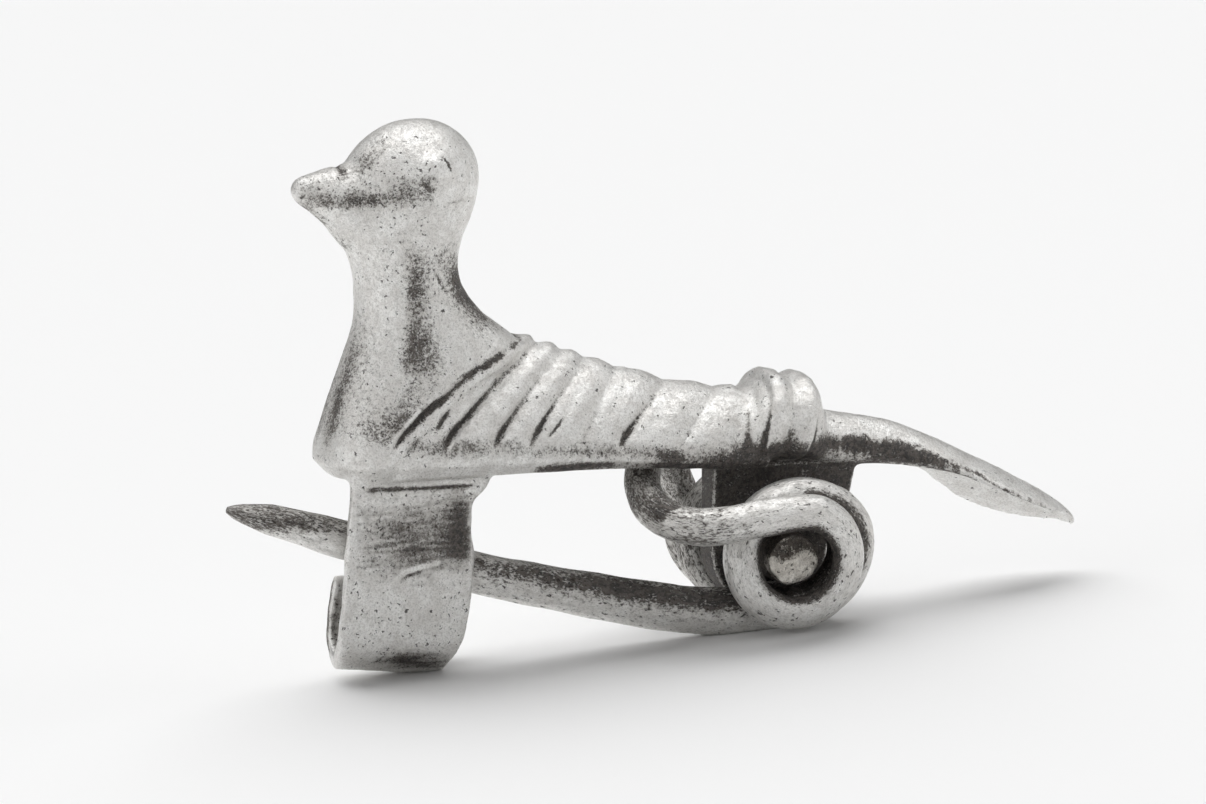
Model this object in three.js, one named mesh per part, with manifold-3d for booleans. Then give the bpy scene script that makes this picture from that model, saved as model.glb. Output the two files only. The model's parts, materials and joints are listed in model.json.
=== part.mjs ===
// A small silver bird brooch (fibula) with a sprung pin.
//
// Three separate pieces make it: the cast bow in the shape of a bird, with its catch
// and its spring lug in one; the axle rod through the lug; and one length of wire that
// is pin, spring and chord. Everything is drawn about the axle: the axle's centre is
// the zero point, -X is the bird's head, +X its tail and +Z its back. At the end the
// brooch is leaned onto its catch and its coils, as it stands on a table.

import * as THREE from 'three';
import { mergeVertices } from 'three/addons/utils/BufferGeometryUtils.js';
import Module from 'manifold-3d';

const wasm = await Module();
wasm.setup();

// ---- driving dimensions, in millimetres -------------------------------------------

const AXLE_RADIUS = 1.34;
const AXLE_LENGTH = 8.8;
const RUNNING_GAP = 0.3;

const LUG_HALF_THICKNESS = 0.95;
const LUG_EYE_RADIUS = 3.05;

const WIRE_RADIUS = 0.95;
const COIL_PITCH = 2.15;
const COIL_FIRST_Y = LUG_HALF_THICKNESS + RUNNING_GAP + WIRE_RADIUS;

const BODY_UNDERSIDE = 4.25;
const BREAST_UNDERSIDE = 4.75;
const CREST_TO_VALLEY = 0.34;

const CATCH_NEAR_Y = -2.35;
const CATCH_FRONT_X = -23.2;
const CATCH_REAR_X = -14.2;
const CATCH_WALL = 0.8;
const CATCH_BEND_RADIUS = 2.1;
const CATCH_BOTTOM = -5.22;
const CATCH_FOOT_SLANT = 0.1;
const CATCH_PLAN_SLANT = 0.15;
const CATCH_LIP_TOP = -1.15;
const CATCH_LIP_LEAN = 0.2;

const STANCE = THREE.MathUtils.degToRad(4.4);
const STAND_HEIGHT = 3.62;
const TABLE_SIZE = { x: 80, y: 40, z: 10 };

const silver = { bow: 0xb9b5ac, axle: 0xa39d90, wire: 0xb0aca2 };

// ---- helpers ----------------------------------------------------------------------

// Points of a drawn curve, from pairs.
function points2d(pairs) {
  return pairs.map(([across, up]) => new THREE.Vector2(across, up));
}

// A smooth value along a line, from [place, value] pairs.
function profile(pairs) {
  const curve = new THREE.CubicInterpolant(
    pairs.map(([place]) => place),
    pairs.map(([, value]) => value),
    1,
  );
  const first = pairs[0][0];
  const last = pairs[pairs.length - 1][0];
  return (place) => curve.evaluate(THREE.MathUtils.clamp(place, first, last))[0];
}

function signedVolume(geometry) {
  const place = geometry.attributes.position;
  const index = geometry.index;
  const corner = [new THREE.Vector3(), new THREE.Vector3(), new THREE.Vector3()];
  let volume = 0;
  for (let i = 0; i < index.count; i += 3) {
    corner.forEach((c, k) => c.fromBufferAttribute(place, index.getX(i + k)));
    volume += corner[0].dot(corner[1].cross(corner[2])) / 6;
  }
  return volume;
}

// A geometry's positions as a solid that manifold-3d can join and cut.
function solid(geometry) {
  geometry.deleteAttribute('normal');
  geometry.deleteAttribute('uv');
  const welded = mergeVertices(geometry, 1e-5);
  const order = Array.from(welded.index.array);
  if (signedVolume(welded) < 0) {
    order.reverse();
  }
  return new wasm.Manifold(new wasm.Mesh({
    numProp: 3,
    vertProperties: new Float32Array(welded.attributes.position.array),
    triVerts: new Uint32Array(order),
  }));
}

// A closed skin: a cylinder whose rings are laid out by place(turn, along, reach).
// turn is the angle round a ring, along runs 0 to 1 through the rings, and reach is 1
// on the skin and 0 at the centre of an end.
function skin(sides, rings, place) {
  const geometry = new THREE.CylinderGeometry(1, 1, 1, sides, rings);
  const vertices = geometry.attributes.position;
  for (let i = 0; i < vertices.count; i += 1) {
    const across = vertices.getX(i);
    const up = vertices.getZ(i);
    const reach = Math.hypot(across, up) > 0.5 ? 1 : 0;
    const turn = Math.atan2(up, across);
    const point = place(turn, 0.5 - vertices.getY(i), reach);
    vertices.setXYZ(i, point.x, point.y, point.z);
  }
  return solid(geometry);
}

// A rounded box-like loop: power 1 is an ellipse, smaller powers are squarer.
function rounded(turn, power) {
  const soften = (v) => Math.sign(v) * Math.abs(v) ** power;
  return { across: soften(Math.cos(turn)), up: soften(Math.sin(turn)) };
}

// ---- the bird's breast, neck and head ----------------------------------------------

// The skin is laid out in level slices from the breast's foot to the crown.
const FOOT_Z = 4.72;
const HEAD_EQUATOR_Z = 19.0;
const CROWN_Z = 22.12;
const bustFront = profile([
  [4.7, -22.3], [5.0, -22.9], [5.7, -23.1], [7.0, -22.8], [9.6, -22.05], [11.3, -21.45],
  [12.4, -21.1], [14.1, -21.12], [15.3, -21.35], [16.6, -21.85], [18.0, -21.95], [19.0, -21.8],
]);
const bustRear = profile([
  [4.7, -18.3], [5.5, -18.2], [6.6, -17.7], [7.5, -16.7], [8.5, -15.0], [9.5, -13.5],
  [10.5, -12.3], [11.2, -12.8], [11.8, -13.8], [12.7, -14.9], [13.9, -15.75], [14.9, -16.0],
  [16.1, -15.8], [17.5, -15.2], [19.0, -14.87],
]);
const bustHalfWidth = profile([
  [4.7, 2.55], [5.1, 3.05], [5.8, 3.3], [7.0, 3.35], [8.5, 3.2], [10.0, 2.95], [11.5, 2.7],
  [13.0, 2.48], [15.0, 2.4], [16.5, 2.5], [18.0, 2.72], [19.0, 2.78],
]);

function bust() {
  const neckShare = 0.68;
  return skin(24, 27, (turn, along, reach) => {
    // Level slices rise evenly to the head's widest part, and close over it as a dome.
    const dome = Math.max(0, (along - neckShare) / (1 - neckShare)) * Math.PI / 2;
    const below = THREE.MathUtils.lerp(FOOT_Z, HEAD_EQUATOR_Z, Math.min(1, along / neckShare));
    const z = below + (CROWN_Z - HEAD_EQUATOR_Z) * Math.sin(dome);
    const closing = Math.max(0.03, Math.cos(dome));
    const middle = (bustFront(below) + bustRear(below)) / 2 + 0.35 * Math.sin(dome);
    const half = (bustRear(below) - bustFront(below)) / 2;
    const loop = rounded(turn, 0.95);
    return {
      x: middle + half * loop.across * closing * reach,
      y: bustHalfWidth(below) * loop.up * closing * reach,
      z,
    };
  });
}

// The beak is laid out in upright slices from inside the head to its blunt tip.
function beak() {
  const top = profile([
    [-24.42, 18.95], [-24.2, 19.35], [-23.6, 19.62], [-22.0, 20.0], [-20.5, 20.1], [-19.0, 19.8],
  ]);
  const bottom = profile([
    [-24.42, 18.75], [-24.2, 18.35], [-23.6, 17.95], [-22.6, 17.0], [-21.7, 15.85], [-19.0, 15.0],
  ]);
  const halfWidth = profile([
    [-24.42, 0.12], [-24.2, 0.55], [-23.5, 0.98], [-22.4, 1.45], [-21.2, 1.95], [-19.0, 2.1],
  ]);
  return skin(18, 10, (turn, along, reach) => {
    const x = THREE.MathUtils.lerp(-24.42, -19.0, along * along * 0.6 + along * 0.4);
    const loop = rounded(turn, 0.95);
    const middle = (top(x) + bottom(x)) / 2;
    return {
      x,
      y: halfWidth(x) * loop.across * reach,
      z: middle + (top(x) - bottom(x)) / 2 * loop.up * reach,
    };
  });
}

// Each eye is a small boss under a raised lid.
function eyes() {
  const pieces = [];
  for (const side of [-1, 1]) {
    const lid = new THREE.SphereGeometry(1, 12, 7);
    lid.scale(1.0, 0.42, 0.95);
    lid.rotateY(THREE.MathUtils.degToRad(20));
    lid.translate(-17.75, side * 2.5, 19.75);
    pieces.push(solid(lid));
    const boss = new THREE.SphereGeometry(0.45, 10, 6);
    boss.scale(1, 0.7, 1);
    boss.translate(-18.15, side * 2.82, 19.4);
    pieces.push(solid(boss));
  }
  return pieces;
}

// ---- the ridged body ----------------------------------------------------------------

// The grooves run up and back over the flank and meet on the bird's back. Each has the
// place where it starts above the lower band and the place where it crosses the back.
const GROOVES = [
  { foot: -20.2, back: -13.0, depth: 1.3 },
  { foot: -17.4, back: -11.6, depth: 1.15 },
  { foot: -14.9, back: -10.4, depth: 1.0 },
  { foot: -13.0, back: -9.25, depth: 0.9 },
  { foot: -10.5, back: -7.7, depth: 0.85 },
  { foot: -8.3, back: -5.0, depth: 1.0 },
  { foot: -5.3, back: -2.4, depth: 0.8 },
  { foot: -2.4, back: -1.0, depth: 0.6 },
];
const BODY_FRONT = { foot: -21.1, back: -13.9 };
const BODY_REAR = { foot: -0.6, back: 0.2 };
const STEPS_PER_RIDGE = 4;
const GROOVE_STRAIGHT = 0.72;

const bodyTop = profile([
  [-13.8, 11.1], [-12.7, 11.25], [-11.0, 10.75], [-9.0, 9.95], [-7.0, 9.3], [-5.0, 8.72],
  [-3.0, 8.28], [-1.5, 8.05], [0.4, 7.95],
]);
const bodyBottom = profile([
  [-22, 4.75], [-16, BREAST_UNDERSIDE], [-12, 4.75], [-8, 4.65], [-4, 4.35], [-1, BODY_UNDERSIDE],
  [4, BODY_UNDERSIDE],
]);
const bodyHalfWidth = profile([
  [-21, 2.5], [-19.8, 3.22], [-18.5, 3.35], [-16, 3.35], [-12, 3.2], [-8, 3.05], [-4, 2.9],
  [0, 2.75],
]);
const bandHeight = profile([[-22, 1.75], [-12, 1.35], [-6, 1.1], [0, 0.9]]);

// The half outline of one ring: how far out it is at each height from underside to back.
const flankOutline = new THREE.CatmullRomCurve3([
  [0, 0], [0.45, 0], [0.87, 0.01], [0.98, 0.07], [1.0, 0.18], [0.98, 0.33], [0.92, 0.48],
  [0.81, 0.64], [0.63, 0.8], [0.36, 0.94], [0, 1],
].map(([out, up]) => new THREE.Vector3(out, up, 0)), false, 'centripetal');

function ridgedBody() {
  const lines = [BODY_FRONT, ...GROOVES, BODY_REAR];
  const spans = lines.length - 1;
  return skin(24, spans * STEPS_PER_RIDGE, (turn, along, reach) => {
    const place = along * spans;
    const span = Math.min(spans - 1, Math.floor(place));
    const inSpan = place - span;
    const foot = THREE.MathUtils.lerp(lines[span].foot, lines[span + 1].foot, inSpan);
    const back = THREE.MathUtils.lerp(lines[span].back, lines[span + 1].back, inSpan);

    // Half a turn on each side runs from the underside up to the back.
    const half = Math.abs(turn - Math.PI / 2 * Math.sign(turn || 1)) / (Math.PI / 2);
    const raised = Math.sin(turn) < 0 ? half / 2 : 1 - half / 2;
    const side = Math.cos(turn) < -1e-9 ? -1 : 1;
    const outline = flankOutline.getPointAt(raised);

    const low = bodyBottom(foot);
    const high = bodyTop(back);
    const z = THREE.MathUtils.lerp(low, high, outline.y);
    const band = bandHeight(foot);
    const climb = THREE.MathUtils.clamp((z - low - band) / (high - low - band), 0, 1);
    // A groove runs straight up the flank, then swings back over the bird's back.
    const run = GROOVE_STRAIGHT * climb + (1 - GROOVE_STRAIGHT) * climb ** 4;
    const x = THREE.MathUtils.lerp(foot, back, run);

    // The valleys are deepest just above the band and soften over the back.
    const valley = Math.max(0, ...GROOVES.map((groove, i) => {
      const off = Math.abs(place - (i + 1));
      return groove.depth * Math.max(0, 1 - off / 0.5) ** 1.3;
    }));
    const start = THREE.MathUtils.smoothstep(z - low, band * 0.7, band * 1.5);
    const cut = CREST_TO_VALLEY * valley * start * THREE.MathUtils.lerp(1.25, 0.75, climb);
    const bodyMiddle = low + (high - low) * 0.35;
    const width = bodyHalfWidth(foot) * outline.x;
    const slope = Math.hypot(width, z - bodyMiddle) || 1;
    return {
      x,
      y: side * Math.max(0, width - cut * width / slope) * reach,
      z: reach ? z - cut * Math.max(0, z - bodyMiddle) / slope : bodyMiddle,
    };
  });
}

// The chord of the spring crosses under the bow in a shallow hollow, which is open on
// the far side where the chord leaves it.
function chordHollow() {
  const hollow = skin(24, 8, (turn, along, reach) => {
    const inEnd = Math.sin(Math.PI * THREE.MathUtils.lerp(0.03, 0.97, along)) ** 0.18;
    const loop = rounded(turn, 0.55);
    return {
      x: THREE.MathUtils.lerp(-9.3, -1.9, along),
      y: 2.5 * inEnd * loop.across * reach,
      z: 3.6 + 2.85 * inEnd * loop.up * reach,
    };
  });
  const wayOut = skin(16, 4, (turn, along, reach) => {
    const loop = rounded(turn, 0.7);
    return {
      x: -4.3 + 2.35 * loop.across * reach,
      y: THREE.MathUtils.lerp(1.0, 4.2, along),
      z: 3.6 + 2.4 * loop.up * reach,
    };
  });
  return hollow.add(wayOut);
}

// ---- the collar and the tail ---------------------------------------------------------

const TAIL_TIP = 16.3;
const rearStations = [
  -1.5, -0.95, -0.65, -0.3, 0.1, 0.5, 0.85, 1.1, 1.4, 1.8, 2.15, 2.4, 2.58, 2.72, 3.4, 4.4, 5.4,
  6.4, 7.3, 8.2, 9.1, 10.0, 10.9, 11.8, 12.7, 13.6, 14.4, 15.1, 15.65, 16.05, TAIL_TIP,
];
const collarTop = profile([
  [-1.5, 7.4], [-0.95, 7.7], [-0.5, 8.4], [0.1, 8.85], [0.6, 8.7], [1.0, 8.42], [1.4, 8.52],
  [1.85, 8.6], [2.2, 8.35], [2.45, 7.8], [2.6, 7.0],
]);
const tailTop = profile([
  [2.6, 6.72], [3.6, 6.5], [5.4, 6.13], [6.7, 5.82], [7.6, 5.45], [8.6, 5.0], [10.6, 4.02],
  [12.0, 3.33], [13.0, 2.8], [14.0, 2.24], [15.0, 1.62], [15.8, 1.02], [TAIL_TIP, 0.42],
]);
const tailBottom = profile([
  [2.6, 4.1], [4.0, 3.9], [5.5, 3.85], [7.0, 3.6], [8.6, 3.1],
]);
const collarHalfWidth = profile([
  [-1.5, 2.3], [-0.95, 2.7], [-0.6, 3.0], [0.1, 3.15], [0.6, 3.0], [1.0, 2.8], [1.4, 2.95],
  [1.85, 3.05], [2.2, 2.9], [2.5, 2.45],
]);
const tailHalfWidth = profile([
  [2.6, 1.75], [4.5, 1.65], [6.5, 1.7], [8.5, 2.0], [10.5, 2.3], [12.0, 2.35], [13.5, 2.05],
  [15.0, 1.35], [15.9, 0.7], [TAIL_TIP, 0.2],
]);
const leafDroop = profile([
  [2.6, 0.9], [6.0, 1.0], [8.5, 1.3], [11.0, 1.6], [13.0, 1.5], [15.0, 0.95], [TAIL_TIP, 0.2],
]);
const leafThickness = profile([
  [2.6, 1.9], [7.0, 1.5], [9.5, 1.0], [12.0, 0.72], [14.5, 0.6], [TAIL_TIP, 0.4],
]);
const LEAF_ROLL = Math.tan(THREE.MathUtils.degToRad(16));
const COLLAR_SLANT = 0.95;

function collarAndTail() {
  const last = rearStations.length - 1;
  return skin(18, last, (turn, along, reach) => {
    const x = rearStations[Math.round(along * last)];
    if (x < 2.6) {
      const loop = rounded(turn, 0.8);
      const low = bodyBottom(x) + 0.02;
      const high = collarTop(x);
      const middle = low + (high - low) * 0.42;
      const tall = loop.up > 0 ? high - middle : middle - low;
      const z = middle + tall * loop.up * reach;
      return {
        x: x - COLLAR_SLANT * (1 - (z - low) / (high - low)) * reach,
        y: collarHalfWidth(x) * loop.across * reach,
        z,
      };
    }
    // A full round-topped bar at the root thins to an arched leaf with a medial ridge.
    const leaf = THREE.MathUtils.smoothstep(x, 5.5, 11.0);
    const out = Math.cos(turn);
    const over = Math.abs(out) ** THREE.MathUtils.lerp(2.2, 1.25, leaf);
    const roll = LEAF_ROLL * leaf * out * tailHalfWidth(x);
    const upper = tailTop(x) - leafDroop(x) * over - roll;
    const barBottom = Math.max(tailBottom(x), tailTop(x) - 2.75);
    const barLower = barBottom + 0.35 * Math.abs(out) ** 4;
    const leafLower = upper - leafThickness(x) * (1 - 0.55 * Math.abs(out) ** 3);
    const lower = THREE.MathUtils.lerp(barLower, leafLower, leaf);
    const middle = (upper + lower) / 2;
    const bulge = Math.sqrt(Math.abs(Math.sin(turn)));
    const rise = Math.sin(turn) > 0 ? upper - middle : lower - middle;
    return {
      x,
      y: tailHalfWidth(x) * out * reach,
      z: middle + rise * Math.min(1, bulge * 1.15) * reach,
    };
  });
}

// ---- the spring lug and the catch -----------------------------------------------------

// Extrudes a side view, drawn in X and Z, through Y.
function throughY(outline, from, to) {
  const geometry = new THREE.ExtrudeGeometry(outline, {
    depth: to - from, bevelEnabled: false, curveSegments: 10,
  });
  geometry.rotateX(Math.PI / 2);
  geometry.translate(0, to, 0);
  return solid(geometry);
}

// Extrudes an end view, drawn in Y and Z, through X.
function throughX(outline, from, to) {
  const geometry = new THREE.ExtrudeGeometry(outline, {
    depth: to - from, bevelEnabled: false, curveSegments: 10,
  });
  const basis = new THREE.Matrix4().makeBasis(
    new THREE.Vector3(0, 1, 0), new THREE.Vector3(0, 0, 1), new THREE.Vector3(1, 0, 0),
  );
  geometry.applyMatrix4(basis);
  geometry.translate(from, 0, 0);
  return solid(geometry);
}

function lug() {
  const plate = new THREE.Shape();
  plate.moveTo(-2.95, 6.9);
  plate.lineTo(-3.0, 2.4);
  plate.lineTo(-LUG_EYE_RADIUS, 0);
  plate.absarc(0, 0, LUG_EYE_RADIUS, Math.PI, 2 * Math.PI, false);
  plate.lineTo(LUG_EYE_RADIUS + 0.2, 0.9);
  plate.lineTo(4.2, 2.5);
  plate.lineTo(4.62, 4.6);
  plate.lineTo(2.4, 5.6);
  plate.closePath();
  return throughY(plate, -LUG_HALF_THICKNESS, LUG_HALF_THICKNESS);
}

function axleHole() {
  const radius = AXLE_RADIUS + RUNNING_GAP;
  return solid(new THREE.CylinderGeometry(radius, radius, 4 * LUG_HALF_THICKNESS, 28));
}

// The catch is a hammered strip that hangs from the breast and rolls up at its foot to
// hold the pin. Its end view is drawn in Y and Z, its side view in X and Z.
function catchPlate() {
  const near = CATCH_NEAR_Y;
  const inner = near + CATCH_WALL;
  const bendY = near + CATCH_BEND_RADIUS - 0.2;
  const bendZ = CATCH_BOTTOM + CATCH_BEND_RADIUS;
  const innerRadius = CATCH_BEND_RADIUS - CATCH_WALL;
  const lipRadius = CATCH_WALL * 0.4;
  const lipY = bendY + CATCH_BEND_RADIUS - CATCH_LIP_LEAN;

  const strip = new THREE.Shape();
  strip.moveTo(near, 6.0);
  strip.splineThru(points2d([
    [near + 0.05, 4.4], [near + 0.22, 2.2], [near + 0.1, 0.2], [near - 0.12, -1.4],
    [bendY - CATCH_BEND_RADIUS, bendZ],
  ]));
  strip.absarc(bendY, bendZ, CATCH_BEND_RADIUS, Math.PI, 2 * Math.PI, false);
  strip.lineTo(lipY, CATCH_LIP_TOP);
  strip.absarc(lipY - lipRadius, CATCH_LIP_TOP, lipRadius, 0, Math.PI, false);
  strip.lineTo(bendY + innerRadius, bendZ);
  strip.absarc(bendY, bendZ, innerRadius, 0, Math.PI, true);
  strip.splineThru(points2d([
    [inner - 0.15, -1.4], [inner, 0.2], [inner, 2.2], [inner + 0.1, 4.4], [inner + 0.2, 6.0],
  ]));
  strip.closePath();

  const view = new THREE.Shape();
  view.moveTo(-22.1, 6.1);
  view.splineThru(points2d([
    [-22.1, 4.7], [-22.05, 3.6], [-22.3, 1.0], [-22.45, -1.0], [-22.75, -3.6], [-22.7, -5.6],
  ]));
  view.lineTo(-17.6, -5.6);
  view.splineThru(points2d([
    [-16.95, -4.3], [-16.25, -2.8], [-15.95, -1.0], [-15.75, 1.0], [-15.9, 2.4], [-15.75, 3.6],
    [-15.0, 4.6], [-14.6, 6.1],
  ]));
  view.closePath();
  // The strip hangs a little askew: its foot is higher in front, its lip set back.
  const askew = new THREE.Matrix4();
  askew.makeShear(0, -CATCH_FOOT_SLANT, CATCH_PLAN_SLANT, 0, 0, 0);
  const pivotX = -17.5;
  return throughX(strip, CATCH_FRONT_X, CATCH_REAR_X)
    .intersect(throughY(view, -4, 4))
    .translate([-pivotX, -near, 0])
    .transform(askew.toArray())
    .translate([pivotX, near, 0]);
}

// ---- the pin, spring and chord, one length of wire ------------------------------------

const wireThick = profile([
  [0, 0.16], [0.02, 0.42], [0.08, 0.74], [0.2, 0.92], [0.6, 1.16], [0.9, 1.2], [1.0, 1.08],
  [1.4, WIRE_RADIUS], [1.9, 0.8], [2.1, 0.7], [2.35, 0.7], [2.6, 0.92], [3.0, 0.98],
  [3.3, 0.86], [3.8, 0.82], [4.0, 0.84], [5.0, 0.86], [5.28, 0.8], [5.3, 0.35],
]);
const wireWide = profile([
  [0, 0.16], [0.02, 0.42], [0.08, 0.72], [0.2, 0.84], [0.45, 0.86], [0.7, 0.96],
  [1.0, WIRE_RADIUS], [2.5, 0.92], [3.0, 0.92], [3.3, 0.86], [3.8, 0.82], [5.0, 0.88],
  [5.28, 0.8], [5.3, 0.35],
]);

// The stages are 0 at the pin's point, 1 at the first coil, 2.5 where the chord starts,
// 3.9 where the far coil starts and 5.3 at the wire's end under the lug.

// The pin, drawn from its point to where it becomes the first coil.
const pinRoute = [
  [-27.75, -0.3, 3.45], [-24.6, -0.35, 2.55], [-21.5, -0.4, 1.52], [-15.3, -0.48, -0.35],
  [-10.45, -0.95, -1.52], [-7.2, -1.5, -2.2], [-4.6, -1.95, -2.62], [-2.4, -2.15, -2.8],
];
// The chord, from the near coil's top, down, round and under the bow to the far coil.
const chordRoute = [
  [-1.9, -5.62, 2.45], [-3.8, -5.6, 2.2], [-5.2, -5.2, 2.1], [-6.3, -4.3, 2.3],
  [-6.85, -3.0, 2.75], [-6.85, -1.6, 3.5], [-6.45, -0.5, 4.4], [-5.75, 0.7, 4.8],
  [-4.9, 2.1, 4.6], [-3.9, 3.6, 4.1], [-3.1, 4.6, 3.0],
];
const STAGES = [0, 1, 2.5, 3.9, 5.3];
const NEAR_COIL = { from: -80, to: 440, step: 20 };
const FAR_COIL = { from: 155, to: 625, step: 20 };
const COIL_RADIUS = 2.8;
const WIRE_SIDES = 9;
const WIRE_RINGS = 150;
const PIN_RING_SHARE = 0.11;

function wireCentreLine() {
  const points = pinRoute.map(([x, y, z]) => new THREE.Vector3(x, y, z));
  for (let turn = NEAR_COIL.from; turn <= NEAR_COIL.to; turn += NEAR_COIL.step) {
    const done = (turn + 90) / 540;
    const swell = 0.15 * Math.sin(Math.PI * Math.min(1, done * 2));
    const radius = COIL_RADIUS + swell - 0.25 * done;
    const angle = THREE.MathUtils.degToRad(turn);
    points.push(new THREE.Vector3(
      radius * Math.cos(angle) + 0.3 * (1 - done),
      -COIL_FIRST_Y - COIL_PITCH * (turn + 90) / 360,
      radius * Math.sin(angle),
    ));
  }
  const coilEnd = points.length;
  chordRoute.forEach(([x, y, z]) => points.push(new THREE.Vector3(x, y, z)));
  const farStart = points.length;
  for (let turn = FAR_COIL.from; turn <= FAR_COIL.to; turn += FAR_COIL.step) {
    const left = (FAR_COIL.to + 5 - turn) / 360;
    const angle = THREE.MathUtils.degToRad(turn);
    const radius = COIL_RADIUS - 0.15 * left;
    points.push(new THREE.Vector3(
      radius * Math.cos(angle),
      COIL_FIRST_Y + COIL_PITCH * left,
      radius * Math.sin(angle) + 0.1 * left,
    ));
  }
  return { points, marks: [0, pinRoute.length, coilEnd, farStart, points.length - 1] };
}

function wire() {
  const { points, marks } = wireCentreLine();
  const route = new THREE.CatmullRomCurve3(points, false, 'centripetal');

  // Rings follow the drawn points, so they are closest together where the wire bends.
  const stationAt = (along) => {
    const first = marks[1] / (points.length - 1);
    return along < PIN_RING_SHARE
      ? along / PIN_RING_SHARE * first
      : first + (along - PIN_RING_SHARE) / (1 - PIN_RING_SHARE) * (1 - first);
  };
  const stageAt = (station) => {
    const place = station * (points.length - 1);
    const part = Math.max(0, marks.findIndex((mark) => place <= mark) - 1);
    const share = (place - marks[part]) / (marks[part + 1] - marks[part]);
    return THREE.MathUtils.lerp(STAGES[part], STAGES[part + 1], share);
  };

  // One pair of cross directions is carried along the wire without twisting.
  const frames = [];
  let side = new THREE.Vector3(0, 1, 0);
  for (let ring = 0; ring <= WIRE_RINGS; ring += 1) {
    const station = stationAt(ring / WIRE_RINGS);
    const tangent = route.getTangent(station).normalize();
    side = side.clone().addScaledVector(tangent, -side.dot(tangent)).normalize();
    frames.push({
      centre: route.getPoint(station),
      side,
      up: new THREE.Vector3().crossVectors(side, tangent).normalize(),
      stage: stageAt(station),
    });
  }
  return skin(WIRE_SIDES, WIRE_RINGS, (turn, along, reach) => {
    const frame = frames[Math.round(along * WIRE_RINGS)];
    return frame.centre.clone()
      .addScaledVector(frame.side, wireWide(frame.stage) * Math.cos(turn) * reach)
      .addScaledVector(frame.up, wireThick(frame.stage) * Math.sin(turn) * reach);
  });
}

function axle() {
  return solid(new THREE.CylinderGeometry(AXLE_RADIUS, AXLE_RADIUS, AXLE_LENGTH, 26, 1));
}

// ---- joining, standing and naming ------------------------------------------------------

function bow() {
  let body = ridgedBody().subtract(chordHollow());
  for (const piece of [bust(), beak(), ...eyes(), collarAndTail(), lug(), catchPlate()]) {
    body = body.add(piece);
  }
  return body.subtract(axleHole());
}

// The brooch leans back onto its coils, and what meets the table is worn flat.
function stand(shape) {
  const leaned = shape.rotate([0, THREE.MathUtils.radToDeg(STANCE), 0]);
  const table = new THREE.BoxGeometry(TABLE_SIZE.x, TABLE_SIZE.y, TABLE_SIZE.z);
  table.translate(0, 0, -STAND_HEIGHT - TABLE_SIZE.z / 2);
  return leaned.subtract(solid(table));
}

function toMesh(shape, name, colour, roughness) {
  const built = shape.getMesh();
  const corners = new Float32Array(built.vertProperties);
  const geometry = new THREE.BufferGeometry();
  geometry.setAttribute('position', new THREE.BufferAttribute(corners, 3));
  geometry.setIndex(new THREE.BufferAttribute(new Uint32Array(built.triVerts), 1));
  geometry.computeVertexNormals();
  const material = new THREE.MeshStandardMaterial({ color: colour, roughness, metalness: 1 });
  const mesh = new THREE.Mesh(geometry, material);
  mesh.name = name;
  return mesh;
}

const brooch = new THREE.Group();
brooch.add(toMesh(stand(bow()), 'bow', silver.bow, 0.35));
brooch.add(toMesh(stand(axle()), 'axle', silver.axle, 0.6));
brooch.add(toMesh(stand(wire()), 'spring_pin', silver.wire, 0.4));

// The origin is under the middle of the brooch, on the table.
const box = new THREE.Box3().setFromObject(brooch);
const middle = box.getCenter(new THREE.Vector3());
for (const mesh of brooch.children) {
  mesh.position.set(-middle.x, -middle.y, STAND_HEIGHT);
}

export default brooch;
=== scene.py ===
# A small silver bird brooch with a sprung pin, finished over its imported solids.

import json
import math

import bpy
import numpy as np
from mathutils import Matrix, Vector, noise


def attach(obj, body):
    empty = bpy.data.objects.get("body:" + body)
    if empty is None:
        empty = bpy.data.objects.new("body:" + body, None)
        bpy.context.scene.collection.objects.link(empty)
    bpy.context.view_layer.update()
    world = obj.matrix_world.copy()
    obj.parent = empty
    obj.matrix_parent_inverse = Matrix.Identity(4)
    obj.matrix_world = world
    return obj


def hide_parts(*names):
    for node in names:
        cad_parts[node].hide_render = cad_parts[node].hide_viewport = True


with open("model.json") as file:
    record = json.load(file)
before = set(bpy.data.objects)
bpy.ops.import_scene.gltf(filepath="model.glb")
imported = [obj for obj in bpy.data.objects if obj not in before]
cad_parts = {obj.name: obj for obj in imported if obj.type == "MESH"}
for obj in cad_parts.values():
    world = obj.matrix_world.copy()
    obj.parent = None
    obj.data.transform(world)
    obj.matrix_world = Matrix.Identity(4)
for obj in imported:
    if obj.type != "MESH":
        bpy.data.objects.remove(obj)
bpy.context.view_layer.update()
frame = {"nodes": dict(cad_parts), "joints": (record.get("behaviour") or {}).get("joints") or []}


# ---- The cast bow -------------------------------------------------------------------
# The bird itself is one silver casting: breast, neck and head, ridged body, collar and
# tail, with the spring lug under the collar and the hammered catch under the breast.
# It is worn bright on what stands proud and tarnished brown-black in its hollows.

# The maker's drawing is in millimetres about the axle, before the brooch leans back on
# its coils, so that is how a piece lies on the bench while it is worked.
MM = 0.001
AXLE = Vector(frame["joints"][0]["pos_m"])
LEAN = math.radians(4.4)
PLACED = Matrix.Translation(AXLE) @ Matrix.Rotation(LEAN, 4, "Y") @ Matrix.Scale(MM, 4)
BENCH = PLACED.inverted()
CASTING_MESH = 0.132


def only(piece):
    """Selects one piece and nothing else."""
    bpy.ops.object.select_all(action="DESELECT")
    piece.select_set(True)
    bpy.context.view_layer.objects.active = piece


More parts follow.
